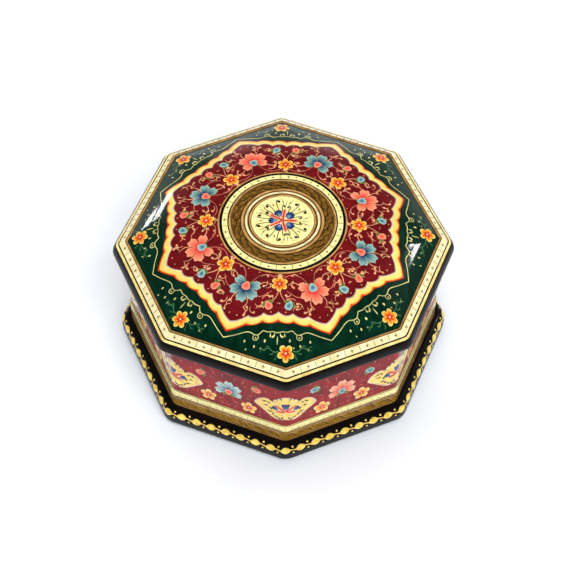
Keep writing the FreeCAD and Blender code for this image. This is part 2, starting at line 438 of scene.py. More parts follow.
def annulus(inner, outer, angles, rows):
    """Band between two outlines, each one distance or one for every angle."""
    count = len(angles)
    points, faces, shades = [], [], []
    for row in range(rows + 1):
        part = row / rows
        points.append(polar_line(inner + (outer - inner) * part, angles))
        shades += [part] * count
    for row in range(rows):
        for k in range(count):
            after = (k + 1) % count
            a, b = row * count, (row + 1) * count
            faces.append((a + k, b + k, b + after, a + after))
    return np.concatenate(points), faces, shades


def moved(shape, x=0.0, y=0.0, angle=0.0, flip=False):
    """Shape turned about the origin and then carried to (x, y); flip mirrors it first."""
    points, faces, shades = shape
    if flip:
        points = points * (1, -1)
    px, py = turned(points[:, 0], points[:, 1], angle)
    return np.stack([px + x, py + y], 1), faces, shades


def mirrored(shape, x, y, spin, way):
    """Shape moved into place, or turned into its mirror image where way is -1."""
    return moved(shape, x, y, spin if way > 0 else pi - spin, flip=way < 0)


def bloom(petals, radius, depth, power=0.55):
    """Outline with round petals and a cut of the given depth between them."""
    angle = np.linspace(0, FULL, petals * 12, endpoint=False)
    return polar_line(radius * (1 - depth + depth * np.abs(np.cos(petals * angle / 2)) ** power), angle)


def petal(length, spread, teeth=3):
    """One notched petal with its base at the origin, pointing along +X."""
    t = np.linspace(-1, 1, 15)
    reach = length * (1 - 0.30 * np.abs(t) ** 3.2) * (1 + 0.055 * np.cos(pi * teeth * (t + 1)))
    reach[0] = reach[-1] = length * 0.5
    angle = spread * t * (1 - 0.12 * np.abs(t) ** 4)
    return fan(polar_line(reach, angle), 4, closed=False)


def drop(length, width, count=16):
    """Pointed bud outline along +X, its base at the origin."""
    t = np.linspace(0, FULL, count, endpoint=False)
    x = length * (0.5 - 0.5 * np.cos(t))
    y = width / 2 * np.sin(t) * (1 - 0.35 * np.cos(t + pi)) ** 0.5
    return np.stack([x, y], 1)


def heart(length, width, count=28):
    """Bud outline along +X with three soft teeth at its far end."""
    t = np.linspace(0, FULL, count, endpoint=False)
    x = length * (0.5 - 0.5 * np.cos(t))
    y = width / 2 * np.sin(t) * (0.55 + 0.75 * x / length)
    x = x + 0.07 * length * np.cos(3 * pi * y / width * 2) * (x / length) ** 3
    return np.stack([x, y], 1)


# ---- laying the shapes on a surface
def add(name, data):
    thing = bpy.data.objects.new(name, data)
    bpy.context.scene.collection.objects.link(thing)
    return thing


def smooth_piece(name, points, normals, faces, material, shades=None):
    """Piece from lists of arrays in millimetres, with its own smooth normals."""
    mesh = bpy.data.meshes.new(name)
    mesh.from_pydata(np.concatenate(points) * MM, [], faces)
    mesh.validate()
    mesh.polygons.foreach_set("use_smooth", [True] * len(mesh.polygons))
    if shades:
        shade = mesh.attributes.new("shade", "FLOAT", "POINT")
        shade.data.foreach_set("value", np.concatenate(shades).astype(np.float32))
    mesh.normals_split_custom_set_from_vertices(np.concatenate(normals))
    mesh.materials.append(material)
    return add(name, mesh)


PAINT_DEPTH = 0.1


def edges_of(faces):
    return [edge for face in faces for edge in zip(face, face[1:] + face[:1])]


class Paint:
    """Collects flat shapes and lays them on their surfaces as one thin closed piece."""

    def __init__(self, name, material, slot, body):
        self.name, self.material, self.slot, self.body = name, material, slot, body
        self.points, self.normals, self.faces, self.shades = [], [], [], []
        self.count = 0

    def lay(self, shape, lift, surface=on_pattern, bulge=0.0):
        """Add a shape whose top is lifted off its surface, and bulges toward the middle if asked to."""
        points, faces, shades = shape
        x, y = points[:, 0], points[:, 1]
        shades = np.array(shades, float)
        rise = lift + bulge * np.sqrt(np.maximum(1 - shades ** 2, 0)) if bulge else np.full(len(x), lift)
        base, normal = surface(x, y, 0.0)
        high = base + normal * rise[:, None]
        low = base + normal * (lift - PAINT_DEPTH)
        size, start = len(points), self.count
        if sum(x[a] * y[b] - x[b] * y[a] for a, b in edges_of(faces)) < 0:
            faces = [face[::-1] for face in faces]
        for face in faces:
            self.faces.append(tuple(start + k for k in face))
            self.faces.append(tuple(start + size + k for k in reversed(face)))
        edges = dict.fromkeys(edges_of(faces))
        for a, b in edges:
            if (b, a) not in edges:
                self.faces.append((start + b, start + a, start + size + a, start + size + b))
        if bulge:
            centre = base.mean(axis=0)
            out = base - centre
            normal = normal + out * (bulge / max(np.abs(out).max(), 0.1) ** 2 * 1.6)
            normal /= np.linalg.norm(normal, axis=1)[:, None]
        self.points += [high, low]
        self.normals += [normal, normal]
        self.shades += [shades, shades]
        self.count += 2 * size

    def build(self):
        piece = smooth_piece(self.name, self.points, self.normals, self.faces, self.material, self.shades)
        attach(piece, self.body)


paints = {}


def paint(name, material, slot, body="lid"):
    """The layer of this name, which is made the first time that it is asked for."""
    if name not in paints:
        paints[name] = Paint(name, material, slot, body)
    return paints[name]


# ---- crowned panel
def crown_piece():
    """Painted panel itself: smooth crown, straight edge and flat underside."""
    rows, count = 44, SIDES * 24
    angles = np.arange(count) * FULL / count
    offset = angles % EIGHTH - HALF
    levels = np.sin(np.linspace(0, pi / 2, rows + 1))[1:]
    points, normals, faces = [np.array([[0, 0, DOME_TOP]])], [np.array([[0, 0, 1.0]])], []
    for level in levels:
        reach = level_reach(offset, min(level, 0.9999))
        place, normal = on_crown(reach * np.cos(angles), reach * np.sin(angles), 0.0)
        points.append(place)
        normals.append(normal)
    rim = points[-1]
    out = np.stack([np.cos(angles), np.sin(angles), np.zeros(count)], 1)
    for z in (DOME_RIM, DOME_SEAT):
        ring = rim.copy()
        ring[:, 2] = z
        points.append(ring)
        normals.append(out)
    points += [ring, np.array([[0, 0, DOME_SEAT]])]
    normals += [np.tile([0, 0, -1.0], (count, 1)), np.array([[0, 0, -1.0]])]
    for k in range(count):
        after = (k + 1) % count
        faces.append((0, 1 + k, 1 + after))
        for row in range(rows + 2):
            a = 1 + row * count
            faces.append((a + k, a + count + k, a + count + after, a + after))
        last = 1 + (rows + 2) * count
        faces.append((last + after, last + k, last + count))
    piece = smooth_piece("crown_panel", points, normals, faces, GREEN)
    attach(piece, "lid")
    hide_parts("lid_dome")


# ---- medallion on the crown
CUSPS = (0, 7.6, 15.0, 22.5)


def scallops(angles, reaches, bulges):
    """Outline that repeats in every eighth: a distance at each cusp, and bulging arcs between them."""
    local = np.abs(np.degrees((angles - TURN + HALF) % EIGHTH - HALF))
    places = np.array(CUSPS, float)
    span = np.clip(np.searchsorted(places, local, side="right") - 1, 0, len(places) - 2)
    part = (local - places[span]) / (places[span + 1] - places[span])
    return np.interp(local, places, reaches) + np.array(bulges)[span] * 4 * part * (1 - part)


def cusp_angles(fine):
    """Angles all round that include every cusp; fine is how many there are to a degree."""
    stops = sorted({way * degrees for degrees in CUSPS for way in (-1, 1)})
    local = []
    for a, b in zip(stops, stops[1:]):
        local += list(np.linspace(a, b, max(int((b - a) * fine), 3), endpoint=False))
    local = np.radians(np.array(local))
    return np.concatenate([TURN + k * EIGHTH + local for k in range(SIDES)])


def medallion():
    rim = cusp_angles(1.7)
    line = scallops(rim, (44.4, 45.3, 47.3, 51.5), (1.25, 1.2, 0.5))
    gold = scallops(rim, (47.7, 48.5, 50.5, 55.0), (1.05, 1.0, 0.3))
    red = scallops(rim, (48.6, 49.3, 51.3, 55.75), (0.5, 0.45, 0.1))
    for name, material, slot, inner, outer, rows, lift in (
            ("red_line", RED_LINE, "green_lacquer", 45.0, red, 10, 0.03),
            ("gold_band", YELLOW, "gold_string", line - 0.2, gold, 6, 0.06),
            ("grey_line", GREY_LINE, "cream_inlay", 42.0, line + 0.5, 8, 0.09),
            ("field", MAROON, "red_lacquer", 26.9, line, 20, 0.12)):
        paint("medallion_" + name, material, slot).lay(annulus(inner, outer, rim, rows), lift)


def star_line():
    """Thin cusped gold line outside the medallion, with its loops, pendants and dots."""
    lift = 0.04
    half = [(22.5, 58.0), (18.3, 55.9), (14.2, 53.9), (12.2, 53.6), (9.8, 54.3), (8.2, 54.0), (6.5, 52.4),
            (4.2, 52.9), (2.2, 52.7), (0, 53.1)]
    loop = ribbon(spline([(0, -1.0), (1.4, -1.1), (2.0, 0), (1.4, 1.0), (0, 0.8)], 5), 0.28)
    marks = [(9.4, 54.3, loop, 0), (9.3, 55.4, spot(0.32, 8), 0), (1.2, 53.2, comma(2.3, 1.7, 0.8), 0.1),
             (3.0, 53.3, comma(1.6, -1.2, 0.6), 0.3)]
    for degrees, reach, size in ((5.2, 56.3, 0.5), (9.3, 58.6, 0.42), (13.6, 57.2, 0.42), (6.6, 59.2, 0.26),
                                 (12.4, 60.0, 0.28)):
        marks.append((degrees, reach, fan(circle(size, 9) * (1.3, 0.8), 1), 0))
    gold = paint("star_outline", PALE, "gold_string")
    for k in range(SIDES):
        axis = TURN + k * EIGHTH
        for way in (1, -1):
            line = [aside(reach, axis, way, degrees) for degrees, reach in half]
            for part in (line[:4], line[3:7], line[6:]):
                gold.lay(ribbon(spline(part, 5), 0.30), lift)
            for degrees, reach, shape, spin in marks:
                a = axis + way * radians(degrees)
                x, y = polar(reach, a)
                gold.lay(moved(shape, x, y, a + way * spin, flip=way < 0), lift)
        pendant = [polar(reach, axis) for reach in (54.6, 55.6, 56.6, 57.8)]
        gold.lay(ribbon(pendant, [0.12, 0.3, 0.42, 0.12]), lift)


# ---- flowers, on the lid and on the walls
BODY_OF = {"lid": "lid", "wall": "box"}


def group_paint(group, kind, material, slot):
    return paint(group + "_" + kind, material, slot, BODY_OF[group])


def leaf_paint(group):
    return group_paint(group, "leaves", LEAF, "green_lacquer")


def bud_paint(group, blue):
    kind, material = ("teal_buds", TEAL_BUD) if blue else ("coral_buds", CORAL_BUD)
    return group_paint(group, kind, material, "cream_inlay")


def small_flower(group, surface, x, y, angle, size, petals, lift):
    outline = bloom(petals, size * rng.uniform(0.97, 1.04), 0.54)
    heart_outline = bloom(petals, size * 0.27, 0.35, 1.0)
    tone = WALL_YELLOW if group == "wall" else ORANGE_PETAL
    group_paint(group, "orange_flowers", tone, "gold_string").lay(
        moved(fan(outline, 4), x, y, angle), lift, surface)
    group_paint(group, "flower_hearts", STAR_RED, "red_lacquer").lay(
        moved(fan(heart_outline, 1), x, y, angle + pi / petals), lift + 0.02, surface)
    group_paint(group, "flower_dots", DOT, "cream_inlay").lay(
        moved(spot(size * 0.11, 9), x, y), lift + 0.04, surface)


def big_flower(group, surface, x, y, out, blue, lift, size=6.5, reach=120):
    """Half-open flower: five notched petals that fan away from a bud between two leaves."""
    cool, warm = (WALL_BLUE, WALL_CORAL) if group == "wall" else (BLUE_PETAL, CORAL_PETAL)
    kind, material = ("blue_petals", cool) if blue else ("coral_petals", warm)
    petals = group_paint(group, kind, material, "cream_inlay")
    bud = bud_paint(group, not blue)
    leaf = leaf_paint(group)
    step = radians(reach) / 2
    for side in (-1, 1):
        shape = fan(drop(4.3, 1.7), 3, centre=(2.1, 0))
        leaf.lay(moved(shape, x, y, out + pi + side * 0.62), lift, surface)
    for k in (-2, 2, -1, 1, 0):
        shape = petal(size * (1.02, 0.98, 0.9)[abs(k)] * rng.uniform(0.97, 1.03), step * 0.53)
        spin = out + k * step + rng.uniform(-0.03, 0.03)
        petals.lay(moved(shape, x, y, spin), lift + 0.02 + 0.006 * abs(k), surface)
    back_x, back_y = polar(2.6, out)
    shape = fan(heart(3.9, 3.5), 3, centre=(1.9, 0))
    bud.lay(moved(shape, x - back_x, y - back_y, out), lift + 0.06, surface)


def small_bud(group, surface, x, y, angle, blue, lift, size=1.0):
    """Toothed bud between two short leaves."""
    leaf = leaf_paint(group)
    bud = bud_paint(group, blue)
    back_x, back_y = polar(size, angle)
    for spin in (-1.05, 1.05):
        shape = fan(drop(2.9 * size, 1.3 * size), 2, centre=(1.4 * size, 0))
        leaf.lay(moved(shape, x - 1.2 * back_x, y - 1.2 * back_y, angle + spin), lift, surface)
    shape = fan(heart(3.9 * size, 3.1 * size), 3, centre=(2.0 * size, 0))
    bud.lay(moved(shape, x - 1.3 * back_x, y - 1.3 * back_y, angle), lift + 0.03, surface)


# Half of the pattern round one big flower. Places are a distance and the degrees from the flower's axis.
# Each vine says whether it is one of the thin ones.
LID_VINES = (
    (True, [(33.6, 22.0), (30.2, 20.0), (28.6, 15.5), (28.6, 10.5), (30.2, 5.6), (33.2, 2.6)]),
    (False, [(35.0, 22.3), (37.6, 21.0), (39.6, 19.4), (41.0, 18.4)]),
    (True, [(38.6, 7.2), (38.8, 11.0), (37.2, 14.6), (35.6, 17.4)]),
    (False, [(39.4, 3.0), (42.6, 4.6), (44.8, 3.6)]),
    (False, [(33.8, 8.0), (32.4, 10.8), (32.2, 14.0), (33.0, 16.4)]),
)
# Distance, degrees, the degrees that the stroke is turned by, its bend and its length.
LID_CURLS = (
    (30.4, 7.4, 120, -2.6, 2.8), (31.4, 12.6, 20, -3.0, 3.0), (34.4, 12.2, 140, 2.6, 3.0),
    (36.0, 14.4, 30, 3.1, 3.0), (37.4, 17.8, -20, -2.9, 2.8), (39.8, 12.4, 130, -2.6, 3.4),
    (41.4, 9.2, 50, 3.0, 3.2), (43.2, 6.6, 20, 2.8, 3.0), (44.4, 9.8, 140, -2.7, 3.0),
    (45.0, 2.4, 60, -2.4, 3.2), (44.2, 14.2, 200, 2.6, 2.8), (47.4, 5.4, 170, 2.2, 2.6),
    (28.6, 18.4, 100, 2.6, 2.4),
)
LID_SPECKS = ((28.2, 5.0), (28.4, 21.6), (34.4, 19.4), (40.9, 22.0), (44.8, 18.6), (31.0, 17.6), (48.6, 2.0))


def medallion_flowers():
    """A big flower with buds and vines toward every side, and a small flower toward every corner."""
    strokes = paint("lid_vines", PEACH, "cream_inlay")
    thin = paint("lid_thin_vines", ROSE_VINE, "red_lacquer")
    lift, flower_lift = 0.16, 0.16 + 0.02
    for k in range(SIDES):
        axis = TURN + HALF + k * EIGHTH
        blue = k % 2 == 1
        for way in (1, -1):
            for is_thin, vine in LID_VINES:
                line = spline([aside(reach, axis, way, degrees) for reach, degrees in vine], 6)
                width = np.linspace(0.34, 0.24, len(line))
                (thin if is_thin else strokes).lay(ribbon(line, width), lift)
            for reach, degrees, spin, bend, length in LID_CURLS:
                x, y = aside(reach + rng.uniform(-0.6, 0.6), axis, way, degrees + rng.uniform(-0.9, 0.9))
                shape = curl_stroke(length * rng.uniform(1.15, 1.4), bend * rng.uniform(0.75, 0.95), 0.44)
                spin = radians(spin + rng.uniform(-22, 22))
                a = axis + way * radians(degrees)
                strokes.lay(moved(shape, x, y, a + way * spin, flip=way < 0), lift)
            for reach, degrees in LID_SPECKS:
                strokes.lay(moved(spot(0.28), *aside(reach, axis, way, degrees)), lift)
        big_flower("lid", on_pattern, *polar(36.4, axis), axis, blue, flower_lift)
        for way in (1, -1):
            x, y = aside(41.4, axis, way, 16.2)
            small_bud("lid", on_pattern, x, y, axis + way * radians(48), not blue, flower_lift)
    for k in range(SIDES):
        axis = TURN + k * EIGHTH
        x, y = polar(32.2, axis)
        small_flower("lid", on_pattern, x, y, axis + rng.uniform(0, 1), 3.6, 5 if k % 2 else 6, flower_lift)


def corner_flowers():
    """A small flower in each green corner, with faint scrolls along both sides."""
    faint = paint("corner_scrolls", SCROLL_GREEN, "green_lacquer")
    lift = 0.04
    curls = ((4.6, 0.9, 1.2, 2.4, -1.8), (6.4, 0.7, -0.8, 2.6, 1.6), (8.0, 0.6, 1.1, 2.2, -1.8),
             (9.4, 1.4, -0.6, 1.8, 1.6), (3.6, 1.4, 2.0, 2.6, -1.4))
    for k in range(SIDES):
        axis = k * EIGHTH
        x, y = polar(61.0, axis)
        small_flower("lid", on_crown, x, y, axis + 0.2 * k, 3.5, 6 if k % 3 else 5, 0.06)
        for way in (1, -1):
            side = axis + way * (pi / 2 + HALF)
            c, s = cos(side), sin(side)
            vine = spline([(3.0, 0.4), (5.0, 1.0), (7.2, 0.4), (9.2, 1.2), (10.6, 2.6)], 5) * (1, -way)
            faint.lay(moved(ribbon(vine, np.linspace(0.34, 0.18, len(vine))), x, y, side), lift, on_crown)
            for away, off, spin, length, curl in curls:
                px, py = x + away * c + way * off * s, y + away * s - way * off * c
                shape = moved(comma(length, curl, 0.34), px, py, side - way * spin, flip=way > 0)
                faint.lay(shape, lift, on_crown)


# ---- rings and disc in the middle
INK_LIFT = 0.23


def centre_rings():
    angles = TURN + np.arange(144) * FULL / 144
    for name, material, slot, inner, outer, lift in (
            ("bronze", BRONZE, "gold_string", 26.6, 27.35, 0.18),
            ("black", BLACK, "black_lacquer", 22.7, 26.7, 0.19),
            ("cream", CREAM, "cream_inlay", 23.3, 25.55, 0.21),
            ("orange", BRONZE, "gold_string", 21.8, 22.75, 0.21),
            ("brown", BROWN, "khatam_brown", 17.5, 21.95, 0.20),
            ("inner_orange", BRONZE, "gold_string", 16.5, 17.5, 0.21),
            ("dark", BROWN, "khatam_brown", 15.9, 16.6, 0.20),
            ("inner_cream", BONE, "cream_inlay", 14.9, 15.85, 0.21),
            ("gold", BROWN, "khatam_brown", 13.2, 15.0, 0.20),
            ("fine_gold", BRONZE, "gold_string", 13.5, 14.1, 0.215)):
        paint("ring_" + name, material, slot).lay(annulus(inner, outer, angles, 2), lift)
    paint("centre_disc", CREAM, "cream_inlay").lay(fan(circle(13.25, 96), 6), 0.21)
    ink = paint("lid_ink", INK, "black_lacquer")
    cells = 23
    for k in range(cells):
        a = TURN + FULL * k / cells
        ink.lay(ribbon([polar(reach, a) for reach in (23.3, 24.45, 25.55)], 0.2), INK_LIFT)
        middle = a + pi / cells
        x, y = polar(24.5, middle)
        for line, lift in (([(-0.7, 0), (0, 0), (0.7, 0)], INK_LIFT), ([(0, -0.7), (0, 0), (0, 0.7)], 0.235)):
            ink.lay(moved(ribbon(line, [0.16, 0.34, 0.16]), x, y, middle), lift)
    for radius, width in ((22.05, 0.14), (21.65, 0.3), (17.75, 0.26), (14.45, 0.3), (16.4, 0.22),
                          (15.95, 0.16), (13.3, 0.14)):
        ink.lay(annulus(radius - width / 2, radius + width / 2, angles, 1), 0.225)
    frets = 17
    steps = ((0, 18.2), (0.40, 18.3), (0.48, 19.1), (0.52, 19.4), (0.94, 19.6), (1.02, 20.2), (1.06, 20.7),
             (1.50, 21.0))
    streaks = paint("ring_streaks", STREAK, "khatam_brown")
    for k in range(frets):
        a = TURN + FULL * k / frets + rng.uniform(-0.02, 0.02)
        for away, where, width, lift in ((0.0, ink, 0.42, INK_LIFT), (0.22, streaks, 0.3, 0.215)):
            line = [polar(reach, a + (part + away) * FULL / frets) for part, reach in steps]
            where.lay(ribbon(spline(line, 3), width), lift)
    groups = 5
    for group in range(groups):
        a = TURN + 0.4 + group * FULL / groups
        for step in (-0.05, 0.0, 0.06):
            line = [polar(reach, a + step) for reach in (15.0, 15.4, 15.8)]
            ink.lay(ribbon(line, 0.2), INK_LIFT)


def centre_star():
    """Five red arms and five blue petals, with dark scrolls between them out to the rings."""
    ink = paint("lid_ink", INK, "black_lacquer")
    halo = paint("star_halo", HALO, "cream_inlay")
    red = paint("star_arms", STAR_RED, "red_lacquer")
    blue = paint("disc_blue_petals", DISC_BLUE, "cream_inlay")
    arms = [radians(degrees) for degrees in (79, 147, 207, 281, 356)]
    petals = [radians(degrees) for degrees in (39, 114, 180, 246, 317)]
    lift, head_lift = 0.24, 0.245
    swell = np.array([0.55, 0.8, 1.0, 1.05, 1.05, 1.0, 0.8])
    for a in arms:
        for layer, width, length, arm_lift in ((halo, 1.75, 5.9, 0.25), (red, 0.72, 6.1, 0.27)):
            line = np.stack([np.linspace(0.1, length, 7), np.zeros(7)], 1)
            layer.lay(moved(ribbon(line, width * swell), angle=a + 0.02), arm_lift)
        ink.lay(moved(ribbon([(0.3, 0), (1.2, 0), (2.0, 0)], [0.24, 0.14, 0.05]), angle=a), 0.29)
    for a in petals:
        shape = fan(bloom(9, 2.0, 0.16, 0.8) + (1.9, 0), 4, centre=(0.7, 0))
        blue.lay(moved(shape, *polar(2.2, a), a), lift)

    def scroll(a, way, start, reach, lean, head):
        line = spline([(start, 0.0), (start + (reach - start) * 0.6, 0.05 * way), (reach - 0.1, 0.25 * way),
                       (reach + 0.3, way * (0.2 + lean * 0.7)), (reach - 0.4, way * (0.3 + lean))], 5)
        ink.lay(moved(ribbon(line, np.linspace(0.3, 0.5, len(line))), angle=a), lift)
        ink.lay(moved(moved(spot(head, 9), line[-1][0] - 0.1, line[-1][1]), angle=a), head_lift)

    for a in petals:
        for way in (1, -1):
            scroll(a + way * 0.15, way, 5.4, 10.7 + rng.uniform(-0.3, 0.3), 1.0, 0.7)
            scroll(a + way * 0.40, way, 4.6, 8.0 + rng.uniform(-0.2, 0.2), 0.8, 0.5)
        ink.lay(moved(comma(1.6, 0.6, 0.5), *polar(8.2, a), a), lift)
    for a in arms:
        line = [(6.3, 0), (8.0, 0.05), (9.6, 0), (11.2, -0.05)]
        ink.lay(moved(ribbon(line, [0.12, 0.2, 0.26, 0.1]), angle=a), lift)
        for way in (1, -1):
            b = a + way * 0.13
            ink.lay(moved(comma(2.8, way * 0.8, 0.42), *polar(8.2, b), b), lift)
            ink.lay(moved(spot(0.24), *polar(11.6, a + way * 0.21)), lift)


# ---- lid border and foot of the walls
def border_marks():
    """Crosses in the cells of the pale strip, bars between them, and two lines beside the strip."""
    ink = paint("lid_border_marks", INK, "black_lacquer")
    cells = 8
    length = 2 * BORDER_MIDDLE * tan(HALF)
    cross = [0.14, 0.3, 0.14]
    for index in range(SIDES):
        surface = on_border(index)
        for k in range(cells):
            v = (k / cells - 0.5) * length
            m = v + length / cells / 2 + rng.uniform(-0.2, 0.2)
            if k:
                ink.lay(ribbon([(v, 62.6), (v, BORDER_MIDDLE), (v, 64.6)], 0.2), 0.03, surface)
            ink.lay(ribbon([(m + step, BORDER_MIDDLE) for step in (-0.75, 0, 0.75)], cross), 0.03, surface)
            ink.lay(ribbon([(m, 62.85), (m, BORDER_MIDDLE), (m, 64.35)], cross), 0.035, surface)
        for a, width in ((62.24, 0.3), (61.24, 0.26)):
            run = a * tan(HALF)
            ink.lay(ribbon([(v, a) for v in np.linspace(-run, run, 5)], width), 0.03, on_string(index))


def foot_marks():
    """Cells of the pale strip, lines above and below, and slanting frets on the band under it."""
    ink = paint("foot_strip_marks", INK, "black_lacquer", "box")
    gold = paint("foot_gold_lines", GOLD, "gold_string", "box")
    light = paint("foot_light_lines", BRONZE, "gold_string", "box")
    half = (BAND_SIDE - BAND_ROUND) * tan(HALF) + BAND_ROUND * HALF
    across = np.linspace(-half, half, 29)
    cells, frets = 9, 7
    pitch = 2 * half / frets
    low, high = BAND_LOW + 1.9, BAND_TOP - 2.2
    lift = 0.03
    lines = ((BAND_TOP + 0.02, 0.34, ink), (STRIP_TOP - 0.1, 0.3, ink), (BAND_TOP - 0.55, 0.5, light),
             (BAND_TOP - 1.15, 0.26, ink), (BAND_TOP - 1.75, 0.34, light), (BAND_LOW + 1.5, 0.3, light),
             (BAND_LOW + 0.95, 0.22, ink), (BAND_LOW + 0.4, 0.5, light))
    for index in range(SIDES):
        surface = on_wall(index, BAND_SIDE, BAND_ROUND)
        for k in range(cells):
            u = (k / cells - 0.5) * 2 * half
            ink.lay(ribbon([(u, BAND_TOP + up) for up in (0.3, 1.1, 1.9)], 0.14), lift, surface)
            oval = fan(circle(0.22, 7) * (1.6, 0.8), 1)
            ink.lay(moved(oval, u + half / cells, BAND_TOP + 1.1), lift, surface)
        for z, width, where in lines:
            where.lay(ribbon([(u, z) for u in across], width), lift, surface)
        for k in range(frets):
            u = (k + 0.5) * pitch - half
            line = spline([(u - pitch * 0.42, high), (u - pitch * 0.1, high - 0.1),
                           (u + pitch * 0.04, (low + high) / 2), (u + pitch * 0.2, low + 0.1),
                           (u + pitch * 0.52, low)], 4)
            ink.lay(ribbon(line, 0.34), lift, surface)
            gold.lay(ribbon(line + (0.55, 0.25), 0.24), 0.025, surface)


# ---- walls
# Right half of the winged medallion at a corner: (u from the corner, z from the medallion's middle).
WING = ((0, 8.2), (1.6, 7.6), (3.2, 6.1), (5.0, 4.3), (6.4, 2.8), (7.6, 3.5), (9.2, 3.6), (10.8, 2.9),
        (12.4, 1.6), (13.6, -0.3), (14.0, -1.8), (12.6, -3.3), (11.0, -4.6), (8.5, -6.8), (5.8, -8.9),
        (3.2, -9.6), (1.3, -8.9), (0, -8.4))
# Dark strokes on it: (u, z, angle, curl).
WING_STROKES = ((10.6, 0.6, 2.9, -1.2), (8.8, 1.6, 3.3, 1.2), (9.9, -1.6, 3.2, -1.6), (7.6, -2.0, 3.5, 1.4),
                (8.2, -4.4, 3.9, -1.6), (6.3, -5.2, 3.9, 1.4), (4.9, -6.8, 4.2, -1.4), (3.0, -7.4, 4.6, -1.2),
                (1.3, -6.4, 4.7, 1.2), (3.5, 4.4, 1.0, 1.2), (1.6, 5.4, 1.3, -1.2), (5.6, 2.4, 1.1, 1.2))
# Rays that spring from its middle: (angle from upright, length).
WING_RAYS = ((0.9, 5.6), (-0.9, 5.6), (1.75, 4.4), (-1.75, 4.4), (0.32, 3.2), (-0.32, 3.2))
# Curls on half of a wall: (u, z, angle in degrees, length, curl), and then specks: (u, z).
WALL_CURLS = (
    (2.4, 41.0, 60, 3.2, 1.6), (5.4, 41.5, 20, 2.8, 2.2), (6.6, 38.6, 80, 2.6, -2.4),
    (1.6, 44.6, 120, 2.6, 1.8), (4.2, 46.6, 10, 2.6, 1.8), (8.4, 45.4, 200, 2.6, 1.6),
    (14.8, 44.0, 70, 2.2, 2.0), (16.2, 47.0, 190, 2.4, 1.8), (8.6, 33.6, 60, 2.8, -2.2),
    (9.6, 30.6, 100, 2.2, 2.4), (2.0, 28.0, -70, 3.4, 1.6), (4.2, 24.2, 200, 2.6, 1.8),
    (0.9, 23.9, 260, 2.2, -1.2), (13.4, 24.0, 30, 2.4, 2.2), (15.4, 22.5, 170, 2.2, 1.8),
    (18.8, 22.6, 60, 2.0, 1.8), (19.4, 45.6, 100, 2.2, -1.8), (5.6, 29.4, -60, 2.6, 1.5),
    (0.8, 48.0, 80, 2.2, 1.4), (13.0, 49.2, 180, 2.2, 1.6), (21.0, 42.6, 60, 2.0, 1.6),
    (17.4, 40.6, 130, 2.2, -1.6),
)
WALL_SPECKS = ((3.2, 48.6), (9.8, 48.4), (12.2, 36.2), (6.6, 21.8), (16.2, 25.6), (3.2, 22.2), (17.0, 50.0))


def winged_medallion(surface, corner, middle, outline):
    up = pi / 2
    hub = middle - 2.6
    paint("wall_medallion_edges", PINK_EDGE, "cream_inlay", "box").lay(
        moved(fan(outline, 9), corner, middle), 0.03, surface)
    paint("wall_medallions", CREAM_WALL, "cream_inlay", "box").lay(
        moved(fan(outline * (0.94, 0.9), 9), corner, middle - 0.1), 0.05, surface)
    halo = paint("wall_ray_halo", HALO, "cream_inlay", "box")
    red = paint("wall_rays", STAR_RED, "red_lacquer", "box")
    blue = paint("wall_medallion_blue", DISC_BLUE, "cream_inlay", "box")
    ink = paint("wall_ink", INK, "black_lacquer", "box")
    swell = np.array([0.4, 0.7, 0.9, 1.0, 1.05, 1.0, 0.8, 0.4])
    for spin, length in WING_RAYS:
        line = np.stack([np.linspace(0.2, length, 8), 0.02 * spin * np.linspace(0, length, 8) ** 2], 1)
        halo.lay(moved(ribbon(line, 1.7 * swell), corner, hub, up + spin), 0.065, surface)
        red.lay(moved(ribbon(line, swell), corner, hub, up + spin), 0.075, surface)
    blue.lay(moved(petal(4.6, 0.66, 4), corner, middle - 1.5, up), 0.09, surface)
    for way in (1, -1):
        blue.lay(moved(petal(3.8, 0.58), corner + way * 2.9, middle - 3.1, up - way * 0.95), 0.09, surface)
        for u, z, spin, curl in WING_STROKES:
            ink.lay(mirrored(comma(2.1, curl, 0.85), corner + way * u, middle + z, spin, way), 0.08, surface)


def walls():
    """Flowers, buds and curls on every wall, and a winged medallion at one of its corners."""
    rose = paint("wall_curls", ROSE, "red_lacquer", "box")
    corner = (WALL_SIDE - WALL_ROUND) * tan(HALF) + WALL_ROUND * HALF
    wings = list(WING) + [(-u, z) for u, z in reversed(WING[1:-1])] + [WING[0]]
    outline = spline(wings, 3)[:-1]
    up = pi / 2
    lift, flower_lift = 0.03, 0.05
    for index in range(SIDES):
        surface = on_wall(index, WALL_SIDE, WALL_ROUND)
        blue = index % 2 == 1
        winged_medallion(surface, corner, 33.4, outline)
        big_flower("wall", surface, 0, 32.8, up, blue, flower_lift, size=6.7, reach=104)
        for way in (1, -1):
            small_bud("wall", surface, way * 11.8, 40.6, up - way * 1.9, not blue, flower_lift, 1.1)
            small_flower("wall", surface, way * 9.2, 25.6, up, 3.75, 5, flower_lift)
            for u, z, spin, length, curl in WALL_CURLS:
                shape = comma(length, curl, 0.42)
                rose.lay(mirrored(shape, way * u, z, radians(spin), way), lift, surface)
            for u, z in WALL_SPECKS:
                rose.lay(moved(spot(0.3), way * u, z), lift, surface)


